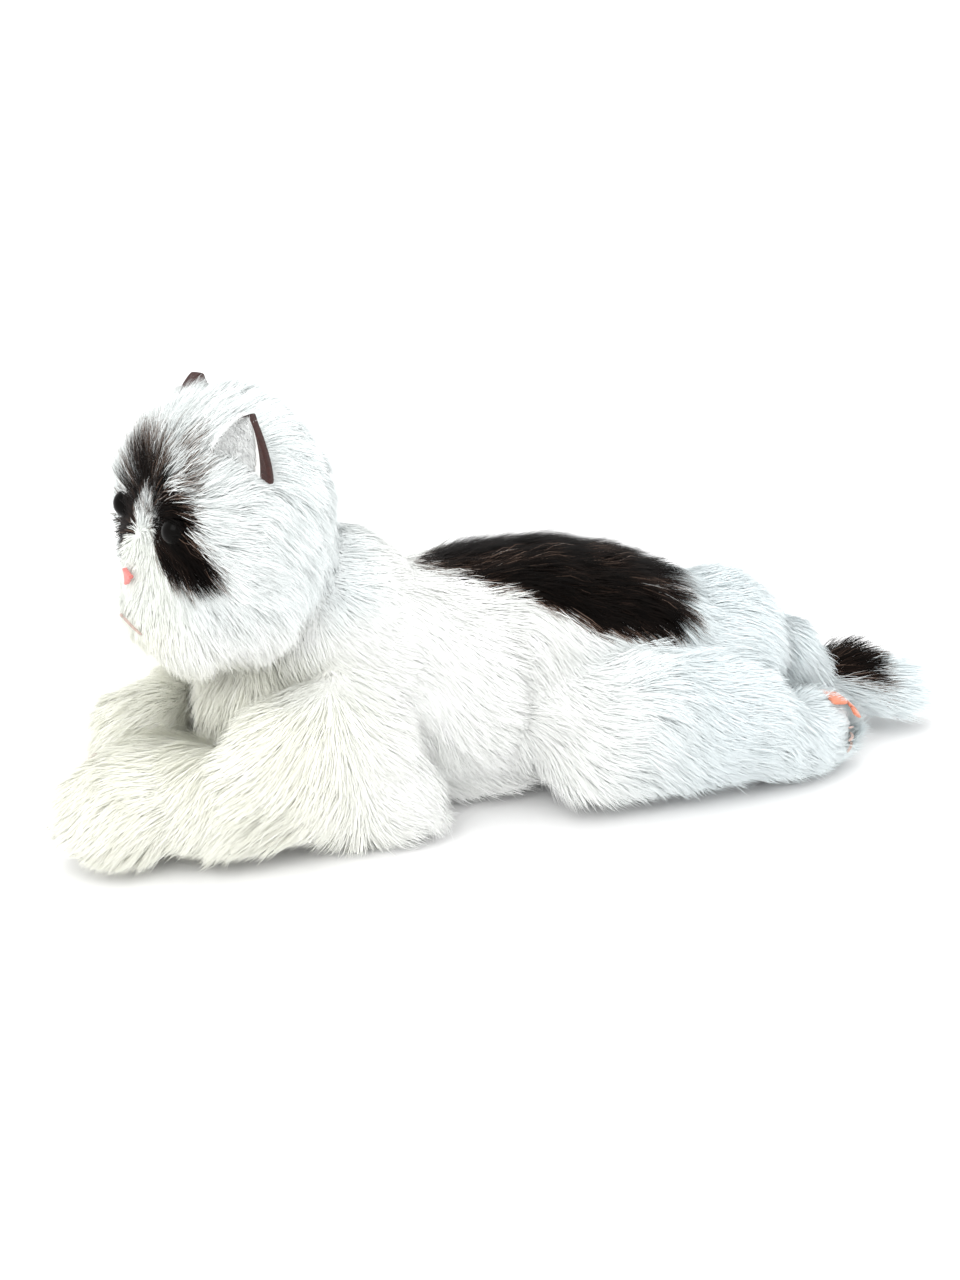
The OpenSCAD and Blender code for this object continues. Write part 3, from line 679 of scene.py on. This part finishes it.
PILE_STANDS_FOR = {
    "side_pile_left": ("torso", "white_fur", ["side_panel_left"]),
    "side_pile_right": ("torso", "white_fur", ["side_panel_right"]),
    "chest_pile": ("torso", "white_fur", ["chest_panel"]),
    "rump_pile": ("torso", "white_fur", ["rump_panel"]),
    "belly_pile": ("torso", "white_fur", ["belly_panel"]),
    "saddle_pile": ("torso", "dark_fur", ["saddle_patch"]),
    "neck_pile": ("neck", "white_fur", ["neck_skin"]),
    "crown_pile": ("head", "white_fur", ["crown_panel", "head_back_panel"]),
    "cheek_pile_left": ("head", "white_fur", ["cheek_left"]),
    "cheek_pile_right": ("head", "white_fur", ["cheek_right"]),
    "throat_pile": ("head", "white_fur", ["throat_panel", "chin_panel"]),
    "muzzle_pile": ("head", "short_pile", ["muzzle_panel"]),
    "mask_pile_left": ("head", "dark_fur", ["mask_left"]),
    "mask_pile_right": ("head", "dark_fur", ["mask_right"]),
    "blaze_pile": ("head", "blaze_fur", ["forehead_blaze"]),
    "foreleg_pile_left": ("foreleg_left", "white_fur", ["foreleg_skin_left"]),
    "foreleg_pile_right": ("foreleg_right", "white_fur", ["foreleg_skin_right"]),
    "paw_pile_left": ("foreleg_left", "white_fur", ["paw_skin_left"]),
    "paw_pile_right": ("foreleg_right", "white_fur", ["paw_skin_right"]),
    "thigh_pile_left": ("hindleg_left", "white_fur", ["thigh_skin_left"]),
    "thigh_pile_right": ("hindleg_right", "white_fur", ["thigh_skin_right"]),
    "foot_pile_left": ("hindleg_left", "white_fur", ["foot_skin_left"]),
    "foot_pile_right": ("hindleg_right", "white_fur", ["foot_skin_right"]),
    "sole_pile_left": ("hindleg_left", "short_pile", ["sole_left"]),
    "sole_pile_right": ("hindleg_right", "short_pile", ["sole_right"]),
    "tail_base_pile": ("tail_base", "white_fur", ["tail_base_skin"]),
    "tail_bend_pile": ("tail_end", "white_fur", ["tail_bend_skin"]),
    "tail_pile": ("tail_end", "white_fur", ["tail_skin"]),
    "tail_tip_pile": ("tail_end", "white_fur", ["tail_tip"]),
    "tail_patch_pile": ("tail_end", "dark_fur", ["tail_patch"]),
}


def base_white(p, settings):
    """The white of the pile: warm in front and low down; towards the rear, the back and the head a darker
    bluish white, which is painted shade.
    """
    warm = (1 - smooth_step(p[:, 1], -150, -40)) * (1 - smooth_step(p[:, 2], 70, 100))
    face = 1 - smooth_step(np.linalg.norm((p - MUZZLE) / (30, 28, 32), axis=1), 0.6, 1.5)
    warm = np.clip(np.maximum(warm, face) + 0.15, 0, 1)[:, None]
    # Painted shade: the head, and further back the rear and the back, turn towards the darker bluish
    # white.
    head = smooth_step(p[:, 2], 95, 120) * (1 - smooth_step(p[:, 1], -75, -50))
    head = head * (0.35 + 0.15 * smooth_step(p[:, 1], -140, -95))
    cool_shade = np.maximum(0.85 * smooth_step(p[:, 1], 10, 90), head)[:, None]
    white = np.array(settings.white)
    tint = white + (np.array(settings.cream) - white) * warm
    return tint + (np.array(settings.cool_shade) - tint) * cool_shade


def strand_tints(p, shade, lock_draw, draw, settings):
    """Colours along each strand, from its root to its tip."""
    count = len(p)
    taupe, brown, dark = (np.array(c) for c in (settings.taupe, settings.brown, settings.dark))
    white = base_white(p, settings)
    value = shade + 0.20 * lock_draw + 0.15 * draw.normal(size=count)
    value = np.where(shade < 0.03, 0, value)
    tip = white.copy()
    for low, high, tone in ((0.18, 0.42, taupe), (0.42, 0.66, brown), (0.72, 0.95, dark)):
        share = smooth_step(value, low, high)[:, None]
        tip = tip * (1 - share) + tone * share
    coloured = smooth_step(value, 0.2, 0.5)[:, None]
    gloom = 1 + 0.025 * lock_draw[:, None] + 0.03 * draw.normal(size=(count, 1))
    # White roots are painted at 0.93 of the white, as painted shade deep in the pile; coloured strands
    # get brownish roots.
    root = white * 0.93 * (1 - coloured) + (0.55 * tip + 0.45 * brown) * coloured
    t = np.array([0, 0.4, 0.8, 1.0])[None, :, None]
    tint = root[:, None] * (1 - t) + tip[:, None] * t
    return np.clip(tint * gloom[:, None], 0, 0.97)


class CAT_OT_pile(bpy.types.Operator):
    """Remesh and relax the stuffing into soft hides, then grow the long pile on them"""

    bl_idname = "cat.pile"
    bl_label = "Hides and pile"

    def execute(self, context):
        settings = context.scene.cat_pile
        backing, fur = hide_material(), pile_material()
        parts = {
            body: [swollen(node, out), *(pillow(*sizes) for sizes in PILLOWS.get(body, ()))]
            for body, (node, out) in STUFFING.items()
        }
        whole = soft_form("whole_form", sum(parts.values(), []), PILE_ROUNDS)
        points, normals, faces = mesh_arrays(whole.data)
        trees = [BVHTree.FromPolygons(*joined(parts[body])) for body in BODIES]
        gaps = np.empty((len(points), len(BODIES)))
        for j, tree in enumerate(trees):
            for i, point in enumerate(points):
                gaps[i, j] = tree.find_nearest(point)[3]
        labels = np.argmin(gaps, axis=1)
        self.make_hides(parts, backing, settings)
        self.grow(points * 1000, normals, faces, labels, fur, settings)
        bpy.data.objects.remove(whole)
        return {"FINISHED"}

    def make_hides(self, parts, backing, settings):
        """A padded hide for each body, in place of its stuffing."""
        for body in BODIES:
            hide = soft_form(body + "_hide", parts[body], HIDE_ROUNDS)
            points, normals, _ = mesh_arrays(hide.data)
            points *= 1000
            label = np.full(len(points), BODIES.index(body))
            shade = shade_at(points, normals, label)[:, None]
            # Painted shade under the pile: the white hide is painted at 0.82 of the pile's white.
            white = base_white(points, settings) * 0.82
            tint = white * (1 - shade) + np.array(settings.brown) * shade
            paint(hide.data, tint)
            hide.data.materials.append(backing)
            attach(hide, body)
            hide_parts(STUFFING[body][0])

    def grow(self, points, normals, faces, labels, fur, settings):
        """Strands over the whole form, sewn in as one piece for each panel."""
        draw = np.random.default_rng(settings.seed)

        def density(middle, body):
            """Strands for each square millimetre of every triangle."""

            def on(*owners):
                return np.isin(body, [BODIES.index(owner) for owner in owners])

            thick = np.full(len(middle), settings.density)
            head = body == BODIES.index("head")
            thick[head] *= 1.7
            near = np.linalg.norm((middle - MUZZLE) / (24, 20, 24), axis=1) < 1.3
            thick[head & near] *= 1.6
            thick[on("hindleg_left", "hindleg_right") & (middle[:, 1] > 140)] *= 1.6
            thick[on("tail_base", "tail_end")] *= 1.4
            thick[middle[:, 2] < 12] *= 0.6
            return thick

        place, facing, body = sample_roots(points, normals, faces, labels, density, draw)
        lie = nap(place, facing, body)
        size = pile_length(place, facing, body, settings)
        wide, wide_count = locks(place, facing, WIDE_LOCK, draw)
        fine, fine_count = locks(place, facing, FINE_LOCK, draw)
        lock_draw = 0.75 * draw.normal(size=wide_count)[wide] + 0.65 * draw.normal(size=fine_count)[fine]
        turn = np.radians(
            7 * draw.normal(size=wide_count)[wide]
            + 5 * draw.normal(size=fine_count)[fine]
            + 7 * draw.normal(size=len(place))
        )
        head = body == BODIES.index("head")
        lift = np.radians(
            np.where(head, 29, np.where(body == BODIES.index("tail_end"), 38, 21))
            - 12 * smooth_step(place[:, 1], -130, -95) * (1 - smooth_step(place[:, 1], -45, -20))
            + 5 * draw.normal(size=wide_count)[wide]
            + 4 * draw.normal(size=fine_count)[fine]
            + 5 * draw.normal(size=len(place))
        )
        lift = np.clip(lift, math.radians(6), math.radians(70))
        under = smooth_step(-facing[:, 2], 0.3, 0.8) * smooth_step(20 - place[:, 2], 0, 8)
        lift = lift * (1 - 0.75 * under)
        across = np.cross(facing, lie)
        lie = lie * np.cos(turn)[:, None] + across * np.sin(turn)[:, None]
        stretch = 1 + 0.07 * draw.normal(size=wide_count)[wide] + 0.12 * draw.normal(size=len(place))
        size = size * np.clip(stretch, 0.5, 1.4)
        droop = np.where(head, 0.18, np.where(body == BODIES.index("tail_end"), 0.05, 0.16))
        curve = strand_curves(place, facing, lie, size, lift, droop)
        frizz = draw.normal(size=(len(place), 3, 3)) * np.array([0.35, 0.6, 1.0])[None, :, None]
        curve[:, 1:] += frizz * np.clip(size / 20, 0.2, 1)[:, None, None]
        for lock, count, strength in ((fine, fine_count, 0.24), (wide, wide_count, 0.10)):
            middle = mean_by_lock(curve, lock, count)[lock]
            for k, t in enumerate((0.0, 0.22, 0.62, 1.0)):
                curve[:, k] += (middle[:, k] - curve[:, k]) * strength * t
        floor = 0.6 + 0.8 * draw.uniform(size=len(place))
        curve[:, :, 2] = np.maximum(curve[:, :, 2], floor[:, None])
        seen = place + lie * (size * 0.75)[:, None] + facing * 6
        shade = shade_at(seen, facing, body)
        tint = strand_tints(seen, shade, lock_draw, draw, settings)
        names = pile_names(seen, facing, body, shade)
        width = settings.strand_width * np.clip(1 + 0.2 * draw.normal(size=len(place)), 0.6, 1.5)
        short = size < 9
        width = np.where(short, width * 0.8, width)
        for name, (owner, slot, nodes) in PILE_STANDS_FOR.items():
            rows = names == name
            mesh = ribbon_mesh(name, curve[rows] * MM, facing[rows], width[rows], tint[rows])
            mesh.materials.append(fur)
            piece = new_object(name, mesh)
            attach(piece, owner)
            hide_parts(*nodes)


# --- ears ---------------------------------------------------------------------------------------

EAR_BASE = np.array([45.5, -135.0, 191.0])
EAR_ALONG = unit(np.array([0.67, 0.55, -0.49]))
EAR_UP = unit(np.array([0.375, 0.31, 0.87]))
EAR_OUT = unit(np.cross(EAR_ALONG, EAR_UP))
# For the left ear (1) and the right ear (-1): height in millimetres, and how far up the front is white.
EAR_TALL = {1: 27, -1: 17}
EAR_BACKING_TOP = {1: 0.85, -1: 0.3}
EAR_LINING_TOP = {1: 0.86, -1: 0.25}


def ear_point(u, v, depth, side, cup):
    """A point of the ear: u across from -1 to 1, v up from 0 to 1, depth in front of its middle."""
    half = (16 if u > 0 else 9) * (1 - max(v, 0) ** 1.6) ** 0.8
    bow = cup * 1000 * (u * u - 0.45) * (1 - 0.5 * v)
    p = EAR_BASE + EAR_ALONG * (half * u) + EAR_UP * (EAR_TALL[side] * v - 5) + EAR_OUT * (depth + bow)
    p[1] += 9 * max(u, 0) * (1 - v)
    return np.array([p[0] * side, p[1], p[2]]) * MM


class CAT_OT_ears(bpy.types.Operator):
    """Shape the cupped ears: a velvet back that rolls over the rim, and a clipped white front"""

    bl_idname = "cat.ears"
    bl_label = "Ears"

    def execute(self, context):
        ears = context.scene.cat_ears
        pile = context.scene.cat_pile
        red = tuple(ears.velvet)
        velvet = cloth_material("ear_velvet", red, darker(red, 0.45), 700, 0.0008, 0.9, 0.08)
        pale, grey = (0.9, 0.9, 0.88), (0.8, 0.79, 0.77)
        backing = cloth_material("ear_backing", pale, grey, 900, 0.0004, 0.9, 0.1)
        fur = bpy.data.materials["long_pile"]
        draw = np.random.default_rng(pile.seed + 3)
        for side, label in ((1, "left"), (-1, "right")):
            shell = self.shell(label, side, ears, (velvet, backing))
            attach(shell, "ear_" + label)
            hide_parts("ear_back_" + label)
            lining = self.lining(label, side, ears, pile, fur, draw)
            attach(lining, "ear_" + label)
            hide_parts("ear_front_" + label)
        return {"FINISHED"}

    def shell(self, label, side, ears, cloths):
        """The cupped shell of an ear, with the white backing on part of its front."""
        across, up = 14, 14
        thick = ears.thickness * 1000
        rows = {}
        points, faces = [], []
        for layer, depth in ((0, thick / 2), (1, -thick / 2)):
            for j in range(up + 1):
                for i in range(across + 1):
                    u, v = 2 * i / across - 1, 0.985 * j / up
                    rows[layer, i, j] = len(points)
                    points.append(ear_point(u, v, depth, side, ears.cup))
        for j in range(up):
            for i in range(across):
                a = [rows[0, i, j], rows[0, i + 1, j], rows[0, i + 1, j + 1], rows[0, i, j + 1]]
                b = [rows[1, i, j], rows[1, i, j + 1], rows[1, i + 1, j + 1], rows[1, i + 1, j]]
                faces += [a, b]
        rim = [(i, 0) for i in range(across)] + [(across, j) for j in range(up)]
        rim += [(i, up) for i in range(across, 0, -1)] + [(0, j) for j in range(up, 0, -1)]
        for k, here in enumerate(rim):
            after = rim[(k + 1) % len(rim)]
            faces.append([rows[0, *here], rows[1, *here], rows[1, *after], rows[0, *after]])
        if side < 0:
            faces = [f[::-1] for f in faces]
        mesh = bpy.data.meshes.new("ear_velvet_" + label)
        mesh.from_pydata([tuple(p) for p in points], [], faces)
        for cloth in cloths:
            mesh.materials.append(cloth)
        for j in range(up):
            for i in range(1, across - 1):
                if i < 0.8 * across and j < EAR_BACKING_TOP[side] * up:
                    mesh.polygons[2 * (j * across + i)].material_index = 1
        shell = new_object("ear_velvet_" + label, mesh)
        rounder = shell.modifiers.new("Round", "SUBSURF")
        rounder.levels = rounder.render_levels = 2
        apply_modifiers(shell)
        return shell

    def lining(self, label, side, ears, pile, fur, draw):
        """The clipped white strands on the front of an ear."""
        count = 9000
        u = draw.uniform(-0.88, 0.60, count)
        v = draw.uniform(0, EAR_LINING_TOP[side], count)
        depth = ears.thickness * 500 - 0.2
        place = np.array([ear_point(a, b, depth, side, ears.cup) for a, b in zip(u, v)]) * 1000
        mirror = np.array([side, 1, 1])
        facing = unit(EAR_OUT * mirror - (EAR_ALONG * mirror) * (0.45 * u)[:, None] + (0, 0, 0.8))
        lie = EAR_UP * mirror - (EAR_ALONG * mirror) * (0.4 + 0.3 * u)[:, None]
        lie = unit(lie + 0.3 * draw.normal(size=(count, 3)))
        size = draw.uniform(3, 6, count) * (1 - 0.4 * v)
        lift = np.radians(draw.uniform(15, 60, count))
        curve = strand_curves(place, facing, lie, size, lift, np.zeros(count))
        value = draw.uniform(0.93, 1.04, (count, 1, 1))
        # Painted shade deep in the lining: each strand is darker towards its root.
        root_shade = np.array([0.9, 0.96, 1.0, 1.0])[None, :, None]
        tint = np.array(pile.white) * value * root_shade
        width = np.full(count, pile.strand_width * 0.9)
        mesh = ribbon_mesh("ear_lining_" + label, curve * MM, facing, width, tint)
        mesh.materials.append(fur)
        return new_object("ear_lining_" + label, mesh)


# --- sewn details -------------------------------------------------------------------------------


def softened(name, node, material, owner, levels=1, sunk=(0, 0, 0), scale=1.0):
    """A rounded copy of a CAD node that stands for it, sunk by some millimetres into the pile."""
    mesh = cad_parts[node].data.copy()
    low, high = (Vector(corner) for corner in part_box(node))
    middle = (low + high) / 2
    place = Matrix.Translation(middle + Vector(sunk) * MM) @ Matrix.Scale(scale, 4)
    mesh.transform(place @ Matrix.Translation(-middle))
    mesh.name = name
    mesh.materials.clear()
    piece = new_object(name, mesh)
    weld = piece.modifiers.new("Weld", "WELD")
    weld.merge_threshold = 0.00005
    rounder = piece.modifiers.new("Round", "SUBSURF")
    rounder.levels = rounder.render_levels = levels
    apply_modifiers(piece)
    piece.data.materials.clear()
    piece.data.materials.append(material)
    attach(piece, owner)
    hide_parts(node)
    return piece


class CAT_OT_sewing(bpy.types.Operator):
    """Finish the eyes, the nose, the stitches and the toe pads"""

    bl_idname = "cat.sewing"
    bl_label = "Eyes, nose and stitches"

    def execute(self, context):
        sewing = context.scene.cat_sewing
        pink, salmon, brown = tuple(sewing.nose), tuple(sewing.pad), tuple(sewing.thread)
        shine = eye_material(tuple(sewing.eye))
        yarn = cloth_material("nose_yarn", pink, darker(pink, 0.7), 900, 0.0004, 0.7, 0.4)
        felt = cloth_material("pad_felt", salmon, darker(salmon, 0.72), 500, 0.0004, 0.85, 0.5)
        thread = cloth_material("sewing_thread", brown, darker(brown, 0.6), 1200, 0.0002, 0.7, 0.3)
        pale, grey = (0.75, 0.75, 0.73), (0.6, 0.6, 0.58)
        plain = cloth_material("washer_plastic", pale, grey, 300, 0.0001, 0.4, 0.0)
        softened("nose_yarn", "nose", yarn, "head", 2, (2.2, 0.5, 3), 0.72)
        softened("mouth_thread", "mouth_stitch", thread, "head", 1, (2.5, -3.5, 0))
        for label in ("left", "right"):
            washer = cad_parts["eye_washer_" + label].data
            washer.materials.clear()
            washer.materials.append(plain)
            gaze = np.array(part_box("eye_" + label)).mean(axis=0) * 1000 - HEAD_CENTRE
            inward = tuple(-1.5 * unit(gaze * (1, 1, 0)))
            softened("eye_dome_" + label, "eye_" + label, shine, "head", 1, inward)
            for piece, node, material, owner, slot, sunk in (
                ("pads_", "toe_pads_", felt, "hindleg_", "pad_felt", (0, -1.5, -5)),
                ("paw_thread_", "paw_stitches_", thread, "foreleg_", "thread", (0, 7, -4)),
                ("foot_thread_", "foot_stitches_", thread, "hindleg_", "thread", (0, -6, 0)),
            ):
                softened(piece + label, node + label, material, owner + label, 1, sunk)
        return {"FINISHED"}


# --- stage --------------------------------------------------------------------------------------


class CAT_OT_stage(bpy.types.Operator):
    """Lay the pale floor, and set up the soft studio light and the camera"""

    bl_idname = "cat.stage"
    bl_label = "Floor, light and camera"

    def execute(self, context):
        stage = context.scene.cat_stage
        self.floor(stage)
        self.lights()
        self.camera(stage)
        return {"FINISHED"}

    def floor(self, stage):
        """A wide pale sheet that the cat lies on."""
        mesh = bpy.data.meshes.new("studio_floor")
        half = 8.0
        corners = [(-half, -half, 0), (half, -half, 0), (half, half, 0), (-half, half, 0)]
        mesh.from_pydata(corners, [], [(0, 1, 2, 3)])
        floor = new_object("studio_floor", mesh)
        material, shader = new_material("pale_floor")
        nodes, links = material.node_tree.nodes, material.node_tree.links
        place = nodes.new("ShaderNodeTexCoord")
        noise = nodes.new("ShaderNodeTexNoise")
        noise.inputs["Scale"].default_value = 3
        links.new(place.outputs["Object"], noise.inputs["Vector"])
        ramp = nodes.new("ShaderNodeValToRGB")
        ramp.color_ramp.elements[0].color = (*darker(stage.floor, 0.985), 1)
        ramp.color_ramp.elements[1].color = (*stage.floor, 1)
        links.new(noise.outputs["Fac"], ramp.inputs["Fac"])
        links.new(ramp.outputs["Color"], shader.inputs["Base Color"])
        shader.inputs["Roughness"].default_value = 0.9
        mesh.materials.append(material)

    def lights(self):
        """A white surround and three soft area lights."""
        world = bpy.data.worlds.new("studio_world")
        bpy.context.scene.world = world
        world.use_nodes = True
        world.node_tree.nodes["Background"].inputs["Color"].default_value = (1, 1, 1, 1)
        world.node_tree.nodes["Background"].inputs["Strength"].default_value = 1.2
        for name, place, size, power in (
            ("key_light", (0.9, -0.9, 1.5), 1.2, 12),
            ("fill_light", (1.3, 0.9, 0.9), 1.4, 3),
            ("top_light", (-0.4, 0.1, 1.8), 1.4, 6),
        ):
            lamp = bpy.data.lights.new(name, "AREA")
            lamp.size = size
            lamp.energy = power
            thing = bpy.data.objects.new(name, lamp)
            thing.location = place
            aim = Vector((0, 0, 0.08)) - Vector(place)
            thing.rotation_euler = aim.to_track_quat("-Z", "Y").to_euler()
            bpy.context.scene.collection.objects.link(thing)

    def camera(self, stage):
        """The camera, aimed at the middle of the cat."""
        lens = bpy.data.cameras.new("studio_camera")
        lens.sensor_fit = "AUTO"
        lens.sensor_width = 36
        lens.lens = stage.lens
        camera = bpy.data.objects.new("studio_camera", lens)
        a, e = stage.azimuth, stage.elevation
        back = Vector((math.sin(a) * math.cos(e), -math.cos(a) * math.cos(e), math.sin(e)))
        target = Vector((0.0009, -0.0111, 0.0722))
        camera.location = target + back * stage.distance
        camera.rotation_mode = "QUATERNION"
        camera.rotation_quaternion = (-back).to_track_quat("-Z", "Y")
        bpy.context.scene.collection.objects.link(camera)
        bpy.context.scene.camera = camera
        bpy.context.scene.view_settings.view_transform = "Standard"


class CAT_PT_panel(bpy.types.Panel):
    """The plush cat's steps and settings"""

    bl_idname = "CAT_PT_panel"
    bl_label = "Plush Cat"
    bl_space_type = "VIEW_3D"
    bl_region_type = "UI"
    bl_category = "Plush Cat"

    def draw(self, context):
        for group, step in (
            ("cat_stage", "cat.stage"),
            ("cat_pile", "cat.pile"),
            ("cat_ears", "cat.ears"),
            ("cat_sewing", "cat.sewing"),
        ):
            box = self.layout.box()
            settings = getattr(context.scene, group)
            for name in settings.__annotations__:
                box.prop(settings, name)
            box.operator(step)


GROUPS = {
    "cat_pile": PileSettings,
    "cat_ears": EarSettings,
    "cat_sewing": SewingSettings,
    "cat_stage": StageSettings,
}
CLASSES = (
    *GROUPS.values(),
    CAT_OT_stage,
    CAT_OT_pile,
    CAT_OT_ears,
    CAT_OT_sewing,
    CAT_PT_panel,
)


def register():
    for part in CLASSES:
        bpy.utils.register_class(part)
    for name, group in GROUPS.items():
        setattr(bpy.types.Scene, name, PointerProperty(type=group))


def unregister():
    for name in GROUPS:
        delattr(bpy.types.Scene, name)
    for part in reversed(CLASSES):
        bpy.utils.unregister_class(part)


def main():
    register()
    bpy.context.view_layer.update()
    bpy.ops.cat.stage()
    bpy.ops.cat.pile()
    bpy.ops.cat.ears()
    bpy.ops.cat.sewing()


if __name__ == "__main__":
    main()
